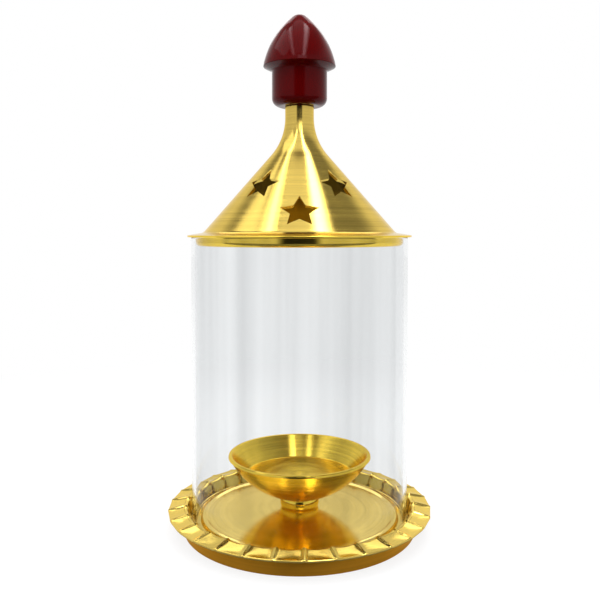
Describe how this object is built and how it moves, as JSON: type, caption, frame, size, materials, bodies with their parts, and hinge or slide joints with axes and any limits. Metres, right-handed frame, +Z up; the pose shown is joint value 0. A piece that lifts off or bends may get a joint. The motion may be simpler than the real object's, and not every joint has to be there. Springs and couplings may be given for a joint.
{
  "type": "oil lamp",
  "caption": "Brass oil lamp with a shallow bowl on a fluted tray, a glass chimney round it, and a lift-off conical lid with star-shaped vents and a turned red knob.",
  "frame": {"origin": "centre of the plain ring's foot, on the surface that the lamp stands on", "axes": "+Z up along the lamp's axis of turning, -Y towards the front, where the stars are"},
  "size_m": [0.1098, 0.11, 0.2138],
  "materials": {
    "brass_ring": "satin, turned",
    "brass_tray": "polished and pressed",
    "brass_foot": "polished",
    "brass_bowl": "satin, turned",
    "brass_lid": "satin, spun",
    "brass_collar": "satin, spun",
    "steel": "zinc plated",
    "clear_glass": "clear, melted edges",
    "lacquered_wood": "dark red gloss lacquer"
  },
  "bodies": {
    "base": {"base_ring": "brass_ring", "fluted_tray": "brass_tray", "bowl_foot": "brass_foot", "diya_bowl": "brass_bowl", "bowl_stud": "steel", "stud_washer": "steel", "stud_nut": "steel"},
    "chimney": {"glass_chimney": "clear_glass"},
    "lid": {"lid_cone": "brass_lid", "lid_collar": "brass_collar", "knob": "lacquered_wood", "knob_screw": "steel", "knob_washer": "steel"}
  },
  "joints": [
    {"name": "chimney_lift", "type": "slide", "parent": "base", "child": "chimney", "axis": [0, 0, 1], "range_m": [0, 0.045]},
    {"name": "lid_lift", "type": "slide", "parent": "chimney", "child": "lid", "axis": [0, 0, 1], "range_m": [0, 0.03]}
  ]
}
